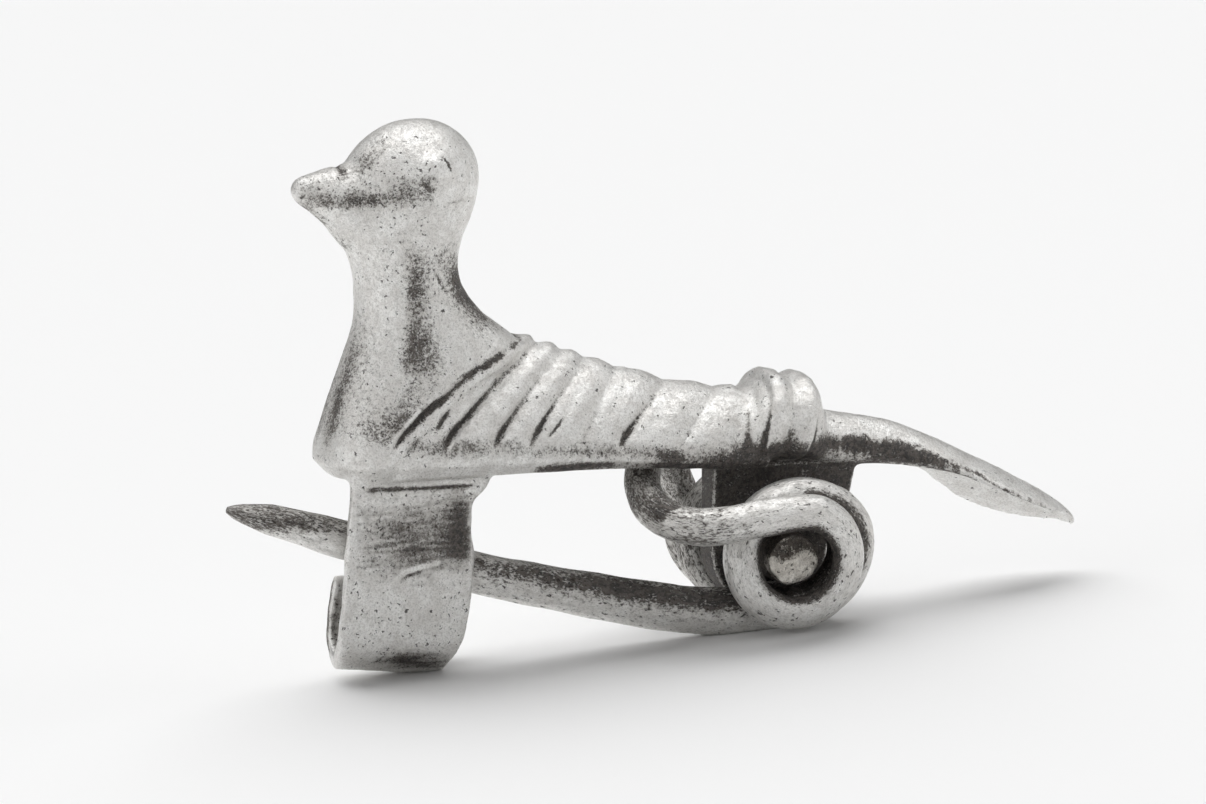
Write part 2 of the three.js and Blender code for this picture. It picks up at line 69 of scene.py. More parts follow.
def onto_bench(node, name):
    """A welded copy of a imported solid, laid on the bench."""
    piece = bpy.data.objects.new(name, frame["nodes"][node].data.copy())
    bpy.context.scene.collection.objects.link(piece)
    piece.data.materials.clear()
    piece.data.transform(BENCH)
    only(piece)
    bpy.ops.object.mode_set(mode="EDIT")
    bpy.ops.mesh.select_all(action="SELECT")
    bpy.ops.mesh.remove_doubles(threshold=0.001)
    bpy.ops.object.mode_set(mode="OBJECT")
    return piece


def applied(piece, kind, **settings):
    """Adds a modifier, sets it and applies it."""
    only(piece)
    bpy.ops.object.modifier_add(type=kind)
    modifier = piece.modifiers[-1]
    for key, value in settings.items():
        setattr(modifier, key, value)
    bpy.ops.object.modifier_apply(modifier=modifier.name)


def corners(piece):
    co = np.empty(len(piece.data.vertices) * 3, np.float32)
    piece.data.vertices.foreach_get("co", co)
    return co.reshape(-1, 3).astype(float)


def outward(piece):
    way = np.empty(len(piece.data.vertices) * 3, np.float32)
    piece.data.vertex_normals.foreach_get("vector", way)
    return way.reshape(-1, 3).astype(float)


def settle(piece, co):
    piece.data.vertices.foreach_set("co", co.astype(np.float32).ravel())
    piece.data.update()


def paint(piece, name, values):
    """Keeps a value from 0 to 1 at each corner, under a name that the finish reads."""
    layer = piece.data.attributes.new(name, "FLOAT", "POINT")
    values = np.clip(values + np.zeros(len(piece.data.vertices)), 0, 1)
    layer.data.foreach_set("value", values.astype(np.float32))


def smooth_step(low, high, value):
    t = np.clip((value - low) / (high - low), 0, 1)
    return t * t * (3 - 2 * t)


def from_line(co, points):
    """Each corner's distance from a drawn line, and how far along it lies, 0 to 1."""
    points = np.array(points, float)
    best = np.full(len(co), 1e9)
    along = np.zeros(len(co))
    last = len(points) - 1
    for i in range(last):
        start, span = points[i], points[i + 1] - points[i]
        t = np.clip((co - start) @ span / (span @ span), 0, 1)
        away = np.linalg.norm(co - start - t[:, None] * span, axis=1)
        nearer = away < best
        best[nearer] = away[nearer]
        along[nearer] = (i + t[nearer]) / last
    return best, along


def hollowness(piece, rounds):
    """How far each corner lies inside its own smoothed surroundings, in millimetres."""
    edges = np.empty(len(piece.data.edges) * 2, np.int64)
    piece.data.edges.foreach_get("vertices", edges)
    one, other = edges.reshape(-1, 2).T
    co = corners(piece)
    count = np.bincount(np.concatenate([one, other]), minlength=len(co))
    soft = co.copy()
    for _ in range(rounds):
        total = np.stack(
            [
                np.bincount(one, soft[other, k], len(co))
                + np.bincount(other, soft[one, k], len(co))
                for k in range(3)
            ],
            axis=1,
        )
        soft = 0.5 * soft + 0.5 * total / np.maximum(count, 1)[:, None]
    return np.einsum("ij,ij->i", soft - co, outward(piece))


def smoothed_where(piece, name, mask, steps, rounds):
    """Smooths a piece, most where the mask is 1 and not at all where it is 0."""
    group = piece.vertex_groups.new(name=name)
    for step in range(1, steps + 1):
        chosen = np.nonzero(np.round(mask * steps) == step)[0]
        group.add([int(i) for i in chosen], step / steps, "REPLACE")
    applied(piece, "SMOOTH", factor=0.5, iterations=rounds, vertex_group=name)


def dimples(co, size, seed):
    """Smooth noise over the corners, from -1 to 1, with hollows about size across."""
    shift = Vector((seed * 7.3, seed * 3.1, seed * 5.7))
    return np.array([noise.noise(Vector(c) / size + shift) for c in co])


bow = onto_bench("bow", "cast_bow")
applied(bow, "REMESH", mode="VOXEL", voxel_size=CASTING_MESH)
applied(bow, "SMOOTH", factor=0.5, iterations=8)

co = corners(bow)
x, y, z = co.T
near = smooth_step(0.3, -0.3, y)
rubbed = smooth_step(-14.5, -16.5, x) * smooth_step(6.5, 9.0, z)

# The neck and head are smoother than the rest: the founder's wax was rubbed down there.
smoothed_where(bow, "rubbed", rubbed, steps=10, rounds=25)
# The throat is the smoothest, where the beak's underside turns down into the neck.
from_throat = np.linalg.norm((corners(bow) - (-21.8, 0, 15.6)) * (1, 0.6, 1), axis=1)
smoothed_where(bow, "throat", smooth_step(2.4, 1.2, from_throat), steps=5, rounds=75)

co = corners(bow)
x, y, z = co.T
cut = np.zeros(len(co))
dark = np.zeros(len(co))

# Each groove is steep on its tail side, where the next ridge starts, and shallow on its
# head side: foot x and z, back x and z, depth, how far up it stays black and how widely.
GROOVES = [
    (-20.2, 6.4, -13.0, 11.3, 0.34, 0.9, 0.24),
    (-19.6, 6.9, -12.75, 11.2, 0.06, 0.95, 0.05),
    (-17.5, 6.35, -11.6, 10.95, 0.30, 0.34, 0.42),
    (-14.95, 6.25, -10.4, 10.55, 0.20, 0.24, 0.26),
    (-13.1, 6.2, -9.25, 10.05, 0.18, 0.3, 0.22),
    (-10.5, 6.0, -7.7, 9.5, 0.05, 0.0, 0.0),
    (-8.4, 5.85, -5.0, 8.75, 0.22, 0.34, 0.3),
    (-5.4, 5.5, -2.4, 8.2, 0.05, 0.0, 0.0),
]
STRAIGHT = 0.72
wobble = 0.05 * dimples(co, 1.1, 9)
broken = 0.35 + 0.65 * smooth_step(-0.3, 0.15, dimples(co, 0.7, 10))
for foot_x, foot_z, back_x, back_z, depth, black_to, black_width in GROOVES:
    climb = (z - foot_z) / (back_z - foot_z)
    reached = np.clip(climb, 0, 1)
    line = foot_x + (back_x - foot_x) * (STRAIGHT * climb + (1 - STRAIGHT) * reached**4)
    slope = STRAIGHT + 4 * (1 - STRAIGHT) * reached**3
    lean = (back_x - foot_x) / (back_z - foot_z) * slope
    off = (x - line) / np.sqrt(1 + lean**2) + wobble
    on = smooth_step(-0.05, 0.1, climb) * smooth_step(1.15, 0.98, climb) * (x < -0.9)
    head_side = np.clip(1 + off / 0.5, 0, 1) ** 1.7 * (off < 0)
    tail_side = np.clip(1 - off / 0.15, 0, 1) * (off >= 0)
    strength = on * (0.15 + 0.85 * smooth_step(0.85, 0.25, climb))
    cut += depth * strength * (head_side + tail_side)
    cut -= 0.06 * on * np.exp(-(((off - 0.36) / 0.2) ** 2))
    if black_to:
        # The black is a broken streak, widest half way up, with a faint line above it.
        fade = smooth_step(black_to + 0.25, black_to - 0.1, climb)
        swell = 0.06 + black_width * np.sin(np.pi * np.clip(climb / (black_to + 0.1), 0, 1))
        streak = np.exp(-((np.minimum(off + 0.05, 0) / swell) ** 2)) * smooth_step(0.12, 0.02, off)
        dark += 0.95 * on * fade * streak * broken * smooth_step(0.0, 0.14, climb)
        faint = np.exp(-((off / 0.12) ** 2)) * smooth_step(0.98, 0.8, climb)
        dark += 0.12 * on * faint * broken

# Lines cut, nicked or creased into the casting: points, half width, depth, darkness. One
# on the catch stands up instead, a bright burr beside its scratch. The creases where the
# catch meets the body and on the tail leaf are darkened as painted shadow.
SCORES = [
    (
        [(-22.05, -1.1, 19.6), (-21.95, -0.5, 19.95), (-21.95, 0.5, 19.95), (-22.05, 1.1, 19.6)],
        0.22, 0.14, 0.6,
    ),
    ([(-17.52, -2.61, 20.62), (-17.07, -2.79, 19.87)], 0.09, 0.12, 1.2),
    ([(-17.32, -2.6, 18.27), (-16.49, -2.3, 18.32), (-15.48, -1.48, 18.37)], 0.07, 0.05, 0.5),
    ([(-17.95, -3.09, 7.21), (-17.6, -3.0, 7.75), (-17.19, -2.85, 8.27)], 0.14, 0.12, 0.9),
    ([(-12.17, -2.97, 6.57), (-11.36, -2.72, 7.42)], 0.09, 0.09, 0.9),
    ([(-17.79, -2.32, 14.97), (-17.17, -2.19, 13.82)], 0.07, 0.06, 0.8),
    # Painted shadow in the crease where the catch meets the body.
    (
        [(-22.1, -1.9, 4.45), (-20.7, -2.35, 4.35), (-17.6, -2.35, 4.3), (-15.9, -2.3, 4.3)],
        0.13, 0.12, 1.0,
    ),
    # Painted shadow under the near half of the tail leaf, along its crease.
    ([(10.6, -2.0, 3.2), (11.69, -2.32, 2.46), (14.73, -1.47, 1.0)], 0.22, 0.12, 0.9),
    (
        [(-20.13, -2.37, -0.57), (-19.42, -2.26, 0.16), (-18.38, -2.23, 0.44), (-17.6, -2.22, 0.54)],
        0.09, -0.07, -1.1,
    ),
    ([(-20.1, -2.37, -0.75), (-19.36, -2.26, -0.02), (-18.36, -2.23, 0.26)], 0.06, 0.05, 0.45),
    ([(-16.3, -1.6, 15.2), (-15.7, -1.35, 14.2)], 0.06, 0.06, 0.7),
    ([(-16.7, -1.8, 14.9), (-16.0, -1.5, 13.7)], 0.05, 0.05, 0.7),
    ([(-18.4, -2.53, -2.2), (-17.5, -2.55, -2.5), (-16.7, -2.54, -2.65)], 0.05, 0.05, 0.4),
    ([(-18.74, -2.53, -2.75), (-17.71, -2.55, -3.02), (-17.2, -2.54, -3.1)], 0.06, 0.06, 0.5),
]
for points, half_width, depth, darkness in SCORES:
    away, along = from_line(co, points)
    ends = np.sin(np.pi * np.clip(along, 0.04, 0.96)) ** 0.35
    cut += depth * ends * np.clip(1 - away / (half_width * 1.3), 0, 1) ** 1.3
    dark += darkness * ends * np.exp(-((away / half_width) ** 2))

# Bosses and dents: centre, radius, height.
DABS = [
    ((-17.9, -2.6, 20.1), 0.85, 0.14),
    ((-18.36, -2.95, 19.5), 0.4, 0.05),
    ((-17.9, 2.6, 20.1), 0.85, 0.14),
    ((-18.36, 2.95, 19.5), 0.4, 0.05),
    ((-19.3, -2.4, 20.1), 0.6, -0.10),
    ((-23.0, -1.0, 19.2), 0.4, -0.06),
    ((-19.6, -3.1, 8.3), 1.3, -0.14),
]
for centre, radius, height in DABS:
    away = np.linalg.norm(co - centre, axis=1)
    cut -= height * np.exp(-((away / radius) ** 2))

# The collar is two rings, and the head-side one is split by a narrow groove. The grooves
# run toward the head at their foot: middle, half width, depth, darkness.
COLLAR_FOOT_Z = 4.3
COLLAR_HEIGHT = 4.3
COLLAR_LEAN = 0.95
COLLAR_GROOVES = [
    (-1.15, 0.15, 0.02, 0.75),
    (-0.42, 0.16, 0.13, 1.1),
    (0.95, 0.3, 0.08, 0.15),
    (2.28, 0.1, 0.06, 0.7),
]
on_collar = (z > 4.2) * (x > -2.6) * (x < 3.0)
foot_first = COLLAR_LEAN * (1 - np.clip((z - COLLAR_FOOT_Z) / COLLAR_HEIGHT, 0, 1))
for middle, width, depth, darkness in COLLAR_GROOVES:
    off = x + foot_first - middle
    cut += depth * on_collar * np.clip(1 - abs(off) / (width * 1.6), 0, 1) ** 1.2
    line = np.exp(-((off / width) ** 2)) * (0.3 + 0.7 * smooth_step(8.4, 6.0, z))
    dark += darkness * on_collar * line

# Where tarnish and painted shade lie thickest: line, reach, strength.
TARNISH_AND_SHADE_PATCHES = [
    ([(-20.2, -1.3, 21.1), (-21.0, -1.3, 20.3), (-21.5, -1.3, 19.9)], 0.85, 0.55),
    # Mostly painted shade along the mouth, with some tarnish.
    ([(-25.6, -0.2, 19.2), (-25.1, -0.6, 18.9), (-24.2, -0.9, 18.65), (-23.2, -1.3, 18.45)], 0.5, 0.85),
    ([(-23.2, -1.3, 18.45), (-22.0, -1.6, 18.4), (-20.97, -2.0, 18.5)], 0.4, 0.5),
    ([(-23.9, -0.9, 19.35), (-22.6, -1.2, 19.45)], 0.35, 0.42),
    ([(-21.6, -1.7, 18.6), (-19.8, -2.5, 18.6), (-18.4, -2.9, 18.7)], 0.6, 0.55),
    ([(-19.8, -2.5, 19.5), (-19.2, -2.8, 19.3)], 0.5, 0.45),
    ([(-18.4, -3.05, 19.45), (-18.25, -3.05, 19.4)], 0.36, 1.1),
    # Tarnish and a painted dark reflection down the neck.
    (
        [(-19.3, -2.5, 16.8), (-18.95, -2.4, 15.0), (-18.95, -2.4, 12.9), (-19.1, -2.5, 10.6)],
        0.42, 0.5,
    ),
    ([(-18.55, -2.4, 15.6), (-18.4, -2.3, 13.4), (-18.4, -2.5, 10.6)], 0.55, 0.42),
    ([(-19.1, -2.5, 11.2), (-19.3, -2.8, 9.2), (-19.9, -3.1, 7.9)], 0.9, 0.3),
    ([(-18.0, -2.5, 11.2), (-18.2, -2.8, 9.2)], 0.9, 0.35),
    ([(-16.9, -1.9, 15.3), (-16.3, -1.6, 14.0), (-15.6, -1.6, 12.3)], 1.2, 0.66),
    ([(-16.2, -1.2, 14.4), (-15.2, -1.0, 12.9), (-14.2, -1.0, 11.9)], 0.7, 0.5),
    ([(-25.2, -0.2, 19.7), (-23.6, -0.4, 20.0), (-22.4, -0.4, 20.0)], 0.7, 0.3),
    ([(-20.4, -3.3, 7.1), (-19.6, -3.2, 8.0)], 0.9, 0.5),
    ([(-23.1, -0.8, 5.4), (-22.4, -0.8, 8.4), (-21.6, -0.8, 11.0)], 0.5, 0.42),
    ([(-19.2, -3.3, 6.5), (-17.2, -3.2, 6.35), (-14.0, -3.1, 6.2)], 0.5, 0.62),
    ([(-13.0, -3.1, 6.0), (-8.0, -3.0, 5.6), (-5.5, -2.9, 5.2)], 0.4, 0.58),
    ([(-12.6, -2.9, 4.95), (-9.0, -3.0, 5.0)], 0.28, 0.75),
    ([(-6.0, -2.9, 4.8), (-3.0, -2.8, 4.7), (-1.5, -2.8, 4.75)], 0.8, 0.95),
    ([(-1.6, -2.8, 4.9), (0.2, -3.0, 5.0), (1.6, -2.9, 4.9)], 0.95, 1.0),
    (
        [(2.3, -2.0, 5.15), (4.2, -1.8, 5.05), (6.3, -1.75, 4.65), (8.3, -2.0, 4.0), (10.0, -2.2, 3.2)],
        0.62, 1.5,
    ),
    ([(-21.2, -2.2, 2.9), (-19.0, -2.2, 2.8), (-16.4, -2.2, 2.8)], 1.3, 0.5),
    ([(-20.6, -2.2, 1.0), (-18.6, -2.2, 0.9), (-16.4, -2.2, 1.0)], 1.3, 0.62),
    ([(-16.6, -2.2, 3.9), (-16.5, -2.2, 1.0)], 0.7, 0.45),
    ([(-20.4, -2.3, -4.2), (-19.3, -2.2, -4.3), (-17.2, -2.1, -4.5)], 0.8, 0.85),
    ([(-22.1, 0.9, 0.0), (-22.2, 0.9, -4.0)], 0.7, 0.8),
]
# The far side is darkened in the same places, but less.
above_catch = (z > 4.5) | (x > -13)
folded = np.where(above_catch[:, None], np.stack([x, -abs(y), z], axis=1), co)
share = 1 - 0.35 * above_catch * smooth_step(-0.3, 0.3, y)
for points, reach, strength in TARNISH_AND_SHADE_PATCHES:
    away, along = from_line(folded, points)
    fullest = 0.6 + 0.4 * np.sin(np.pi * np.clip(along, 0.1, 0.9))
    dark += strength * share * np.exp(-((away / reach) ** 2)) * fullest

settle(bow, co - cut[:, None] * outward(bow))

# Small unevenness of a worn casting, and the hammer's dents on the catch.
co = corners(bow)
x, y, z = co.T
on_catch = smooth_step(4.6, 3.8, z) * smooth_step(-14.0, -15.0, x)
uneven = 0.035 * dimples(co, 1.6, 1) + 0.014 * dimples(co, 0.5, 2)
uneven += on_catch * 0.05 * dimples(co * (1, 1, 1.6), 1.3, 3)
settle(bow, co + uneven[:, None] * outward(bow))
applied(bow, "SMOOTH", factor=0.5, iterations=1)

# Tarnish also gathers in every hollow and on the front of the breast. Under the bow the
# darkening is painted shade with some tarnish, and on the lug and inside the catch it is painted shade.
co = corners(bow)
x, y, z = co.T
way = outward(bow)
fine = hollowness(bow, 6)
broad = hollowness(bow, 45)
on_head = smooth_step(15.5, 17.0, z)
dark += smooth_step(0.004, 0.03, fine) * 0.22
dark += smooth_step(0.03, 0.22, broad) * (0.4 - 0.3 * on_head)
# Painted shade, with some tarnish: downward faces under the bow are darkened.
shaded_underside = smooth_step(-0.35, -0.85, way[:, 2]) * smooth_step(1.5, 2.5, z)
dark += 0.55 * shaded_underside * smooth_step(8.0, 6.0, x)
# Painted shade: the lug under the collar is made near black.
on_lug = smooth_step(4.35, 4.0, z) * smooth_step(-6, -4, x) * (x < 5.5)
dark = np.maximum(dark, 0.95 * on_lug)
# Painted shade: the catch's inward and far-facing faces are darkened.
dark += 0.4 * on_catch * smooth_step(-0.2, 0.6, way[:, 1])
dark += 0.33 * smooth_step(-19.5, -21.5, x) * smooth_step(14, 12, z) * smooth_step(6.0, 7.5, z)
# It is rubbed off proud edges and the catch's front edge. Painted reflection of the white
# table lightens the catch's lower near face and the lowest band of the breast, and the
# upper half of the collar is made lighter.
dark -= 0.8 * smooth_step(0.01, 0.05, -fine)
# Painted reflection: the catch's lower near face is lightened.
dark -= 0.2 * on_catch * near * smooth_step(-1.2, -2.2, z) * smooth_step(-4.0, -3.2, z)
dark -= 0.5 * on_catch * near * smooth_step(-21.7, -22.0, x)
# Painted reflection: the lowest band of the breast is lightened.
dark -= 0.5 * smooth_step(5.6, 5.2, z) * smooth_step(4.2, 4.6, z) * smooth_step(-12.0, -14.0, x)
dark -= 0.25 * smooth_step(5.4, 6.8, z) * smooth_step(-2.2, -1.4, x) * smooth_step(3.0, 2.6, x)
# It is streaked where it was rubbed: across the catch, and up and down the tail.
on_tail = smooth_step(2.6, 3.6, x) * smooth_step(3.9, 4.5, z + 0.6 * np.maximum(0, x - 5))
dark += 0.22 * on_catch * dimples(co * (0.35, 1, 3.5), 0.5, 11)
dark += 0.5 * on_tail * dimples(co * (1, 1, 0.25), 0.22, 12) * smooth_step(0.15, 0.5, dark)
# Painted shade: the tail bar's topmost faces are darkened.
dark += 0.35 * on_tail * smooth_step(0.85, 0.95, way[:, 2]) * (x < 11)
# Painted highlight: the tail's upward faces are lightened.
dark -= 0.2 * on_tail * smooth_step(0.1, 0.4, way[:, 2])

# Casting pits lie in patches: line, reach, where they are thickest, strength.
PITS = [
    (
        [(-18.9, -2.5, 17.5), (-18.9, -2.5, 13.0), (-18.6, -3.0, 9.0), (-19.6, -3.1, 7.0)],
        1.6, 0.4, 0.55,
    ),
    ([(-23.6, -0.8, 19.2), (-22.3, -1.2, 19.2)], 1.0, 0.4, 1.0),
    ([(-20.6, -2.0, 19.4), (-18.8, -2.6, 19.1)], 1.2, 0.4, 0.8),
    ([(-17.0, -2.4, 10.5), (-17.5, -2.9, 8.0)], 1.6, 0.5, 0.6),
    ([(-17.6, -2.5, -2.6), (-16.6, -2.4, -2.0)], 1.6, 0.6, 0.6),
]
pitted = 0.1 + 0.12 * on_catch
for points, reach, thickest, strength in PITS:
    away, along = from_line(folded, points)
    pitted += strength * smooth_step(reach, thickest, away)
paint(bow, "tarnish_and_shade", dark)
paint(bow, "pitting", pitted)
paint(bow, "wear", smooth_step(0.0, 0.06, -fine) + 0.6 * smooth_step(0.3, 0.95, way[:, 2]))
paint(bow, "raggedness", 0.62 - 0.3 * on_catch)


def group_socket(group, name, kind, way, value=None):
    """Adds an INPUT or OUTPUT to a node group, with its value when nothing is joined."""
    socket = group.interface.new_socket(name, in_out=way, socket_type=kind)
    if value is not None:
        socket.default_value = value


class Wiring:
    """Adds nodes to a tree and joins them."""

    def __init__(self, tree):
        self.tree = tree

    def node(self, kind, inputs=(), **settings):
        made = self.tree.nodes.new(kind)
        for key, value in settings.items():
            setattr(made, key, value)
        for key, value in dict(inputs).items():
            socket = made.inputs[key]
            if isinstance(value, bpy.types.NodeSocket):
                self.tree.links.new(value, socket)
            else:
                socket.default_value = value
        return made

    def maths(self, operation, first, second=0.0, clamp=False):
        made = self.node("ShaderNodeMath", {0: first, 1: second}, operation=operation)
        made.use_clamp = clamp
        return made.outputs[0]

    def plus(self, first, second):
        return self.maths("ADD", first, second)

    def minus(self, first, second):
        return self.maths("SUBTRACT", first, second)

    def times(self, first, second):
        return self.maths("MULTIPLY", first, second)

    def arrows(self, operation, inputs):
        return self.node("ShaderNodeVectorMath", inputs, operation=operation).outputs[0]

    def ramp(self, value, low, high, to_low=0.0, to_high=1.0):
        made = self.node(
            "ShaderNodeMapRange",
            {
                "Value": value, "From Min": low, "From Max": high,
                "To Min": to_low, "To Max": to_high,
            },
            interpolation_type="SMOOTHSTEP",
        )
        return made.outputs[0]

    def mixed(self, factor, first, second, blend="MIX"):
        made = self.node("ShaderNodeMix", data_type="RGBA", blend_type=blend)
        for index, value in ((0, factor), (6, first), (7, second)):
            if isinstance(value, bpy.types.NodeSocket):
                self.tree.links.new(value, made.inputs[index])
            else:
                made.inputs[index].default_value = value
        return made.outputs[2]

    def speckle(self, vector, per_mm, detail=3.0, rough=0.6, stretch=None):
        if stretch:
            scale, rotation = stretch
            mapping = {"Vector": vector, "Scale": scale, "Rotation": rotation}
            vector = self.node("ShaderNodeMapping", mapping).outputs[0]
        made = self.node(
            "ShaderNodeTexNoise",
            {"Vector": vector, "Scale": per_mm / MM, "Detail": detail, "Roughness": rough},
        )
        return made.outputs["Fac"]


# Old worn silver: satin grey metal with a fine grain, ragged tarnish with painted shade laid in
# with it, casting pits and handling scratches. Patterns come in metres, heights go out in millimetres.
worn = bpy.data.node_groups.new("Worn old silver", "ShaderNodeTree")
group_socket(worn, "Pattern", "NodeSocketVector", "INPUT")
group_socket(worn, "Tarnish_and_shade", "NodeSocketFloat", "INPUT", 0.0)
group_socket(worn, "Pitting", "NodeSocketFloat", "INPUT", 0.3)
group_socket(worn, "Wear", "NodeSocketFloat", "INPUT", 0.0)
group_socket(worn, "Raggedness", "NodeSocketFloat", "INPUT", 0.6)
group_socket(worn, "Colour", "NodeSocketColor", "OUTPUT")
group_socket(worn, "Roughness", "NodeSocketFloat", "OUTPUT")
group_socket(worn, "Height", "NodeSocketFloat", "OUTPUT")
wiring = Wiring(worn)
into = worn.nodes.new("NodeGroupInput").outputs
pattern = into["Pattern"]
coarse = wiring.speckle(pattern, 1.1, 4.0)
middling = wiring.speckle(pattern, 4.0, 4.0, 0.7)
grain = wiring.speckle(pattern, 11.0, 2.0, 0.6)

# Tarnish and painted shade have ragged edges. They start as a thin film, and are black where they are
# thick.
ragged = wiring.plus(wiring.times(coarse, 0.22), wiring.times(middling, 0.36))
ragged = wiring.minus(wiring.plus(ragged, wiring.times(grain, 0.42)), 0.5)
ragged = wiring.times(ragged, wiring.times(into["Raggedness"], 5.0))
held = wiring.plus(into["Tarnish_and_shade"], ragged)
black = wiring.ramp(held, 0.5, 0.85)
film_and_shade = wiring.ramp(held, 0.18, 0.7)

# Pits are small ragged holes: cells pulled out of shape, of two sizes, in clusters. For
# each size: cells to a millimetre, largest and smallest in a cell, and how many are open.
PIT_SIZES = [(2.6, 0.28, 0.1, 0.8), (5.5, 0.42, 0.14, 1.1)]
PULL = 0.42 * MM
pull = wiring.node("ShaderNodeTexNoise", {"Vector": pattern, "Scale": 5.2 / MM, "Detail": 2.0})
pull = wiring.arrows("SUBTRACT", {0: pull.outputs["Color"], 1: (0.5, 0.5, 0.5)})
pulled = wiring.arrows("ADD", {0: pattern, 1: wiring.arrows("SCALE", {0: pull, "Scale": PULL})})
clustered = wiring.times(into["Pitting"], wiring.ramp(coarse, 0.4, 0.6, 0.2, 0.85))
pit = 0.0
for per_mm, largest, smallest, share in PIT_SIZES:
    cells = wiring.node("ShaderNodeTexVoronoi", {"Vector": pulled, "Scale": per_mm / MM}).outputs
    chance = wiring.node("ShaderNodeSeparateColor", {"Color": cells["Color"]}).outputs[0]
    here = wiring.maths("LESS_THAN", chance, wiring.times(clustered, share))
    size = wiring.ramp(chance, 0.0, 0.45, largest, smallest)
    inside = wiring.ramp(wiring.maths("DIVIDE", cells["Distance"], size), 1.0, 0.5)
    pit = wiring.maths("MAXIMUM", pit, wiring.times(here, inside))

# Handling scratches are thin lines through two long patterns that cross: how each is
# stretched and turned, and the width of its lines.
SCRATCHES = [
    ((1.0, 6.0, 16.0), (0.1, 0.25, 0.0), 0.016),
    ((12.0, 6.0, 1.2), (0.0, 0.5, 0.2), 0.012),
]
scratched = []
for stretched, turned, width in SCRATCHES:
    long_pattern = wiring.speckle(pattern, 0.9, 6.0, 0.75, (stretched, turned))
    off_line = wiring.maths("ABSOLUTE", wiring.minus(long_pattern, 0.5))
    scratched.append(wiring.ramp(off_line, width, 0.0))
lines = wiring.maths("ADD", *scratched, clamp=True)
lines = wiring.times(lines, wiring.ramp(middling, 0.42, 0.62))

# Dark flecks fill the finest hollows, thickest where tarnish and painted shade are dark already.
flecks = wiring.ramp(wiring.speckle(pattern, 6.0, 3.0, 0.65), 0.57, 0.66)
flecks = wiring.times(flecks, wiring.ramp(into["Tarnish_and_shade"], 0.0, 0.6, 0.12, 0.9))

BRIGHT_SILVER = (0.93, 0.925, 0.905, 1)
GREY_SILVER = (0.80, 0.785, 0.76, 1)
DULL_SILVER = (0.45, 0.435, 0.41, 1)
SCRATCHED_SILVER = (0.55, 0.54, 0.52, 1)
# These film, brown and black colours paint tarnish and painted shade alike.
TARNISH_AND_SHADE_FILM = (0.27, 0.255, 0.235, 1)
BROWN_TARNISH_AND_SHADE = (0.14, 0.124, 0.112, 1)
BLACK_TARNISH_AND_SHADE = (0.05, 0.047, 0.047, 1)
FLECK_DIRT = (0.09, 0.08, 0.072, 1)
PIT_DIRT = (0.06, 0.052, 0.048, 1)
clean = wiring.mixed(wiring.ramp(coarse, 0.35, 0.65), GREY_SILVER, BRIGHT_SILVER)
clean = wiring.mixed(wiring.times(wiring.ramp(grain, 0.55, 0.35), 0.4), clean, DULL_SILVER)
veiled_and_shaded = wiring.mixed(wiring.times(film_and_shade, 0.75), clean, TARNISH_AND_SHADE_FILM)
brown = wiring.mixed(wiring.ramp(middling, 0.4, 0.62), BLACK_TARNISH_AND_SHADE, BROWN_TARNISH_AND_SHADE)
stained_and_shaded = wiring.mixed(wiring.times(black, 0.92), veiled_and_shaded, brown)
stained_and_shaded = wiring.mixed(wiring.times(lines, 0.3), stained_and_shaded, SCRATCHED_SILVER)
stained_and_shaded = wiring.mixed(flecks, stained_and_shaded, FLECK_DIRT)
colour = wiring.mixed(wiring.times(pit, 0.85), stained_and_shaded, PIT_DIRT)

rough = wiring.ramp(middling, 0.3, 0.7, 0.46, 0.56)
rough = wiring.plus(rough, wiring.times(film_and_shade, 0.12))
rough = wiring.minus(rough, wiring.times(into["Wear"], 0.08))

height = wiring.plus(wiring.times(grain, 0.036), wiring.times(middling, 0.05))
height = wiring.minus(height, wiring.times(pit, 0.045))
height = wiring.minus(height, wiring.times(lines, 0.006))
wiring.node("NodeGroupOutput", {"Colour": colour, "Roughness": rough, "Height": height})


def silver_finish(name, pattern_layer=None, tint=None):
    """Worn silver whose tarnish and painted shade, pitting and wear follow the piece's own layers."""
    material = bpy.data.materials.new(name)
    material.use_nodes = True
    material.node_tree.nodes.clear()
    finish = Wiring(material.node_tree)
    if pattern_layer:
        drawn = finish.node("ShaderNodeAttribute", attribute_name=pattern_layer)
        layers = {"Pattern": drawn.outputs["Vector"]}
    else:
        layers = {"Pattern": finish.node("ShaderNodeTexCoord").outputs["Object"]}
    for layer in ("Tarnish_and_shade", "Pitting", "Wear", "Raggedness"):
        read = finish.node("ShaderNodeAttribute", attribute_name=layer.lower())
        layers[layer] = read.outputs["Fac"]
    silver = finish.node("ShaderNodeGroup", layers, node_tree=worn).outputs
    colour = silver["Colour"]
    if tint:
        colour = finish.mixed(1.0, colour, tint, blend="MULTIPLY")
    relief = {"Height": silver["Height"], "Strength": 1.0, "Distance": MM}
    metal = finish.node(
        "ShaderNodeBsdfPrincipled",
        {
            "Base Color": colour,
            "Roughness": silver["Roughness"],
            "Metallic": 1.0,
            "Normal": finish.node("ShaderNodeBump", relief).outputs[0],
        },
    )
    finish.node("ShaderNodeOutputMaterial", {"Surface": metal.outputs[0]})
    return material


def placed(piece, body, slot, *nodes):
    """Puts a finished piece in its place in the brooch."""
    piece.data.transform(PLACED)
    for polygon in piece.data.polygons:
        polygon.use_smooth = True
    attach(piece, body)
    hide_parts(*nodes)


bow.data.materials.append(silver_finish("Cast silver"))
placed(bow, "bow_body", "bow_silver", "bow")


# ---- The axle -----------------------------------------------------------------------
# A short silver rod pushed through the lug's hole, with the spring's coils round it. Its
# ends were cut and hammered, so they are lumpy. Painted shadow blackens its upper half, its
# rim and its length inside the coils, and its end faces stay pale below.

AXLE_RADIUS = 1.34
AXLE_LENGTH = 8.8
AXLE_MESH = 0.09

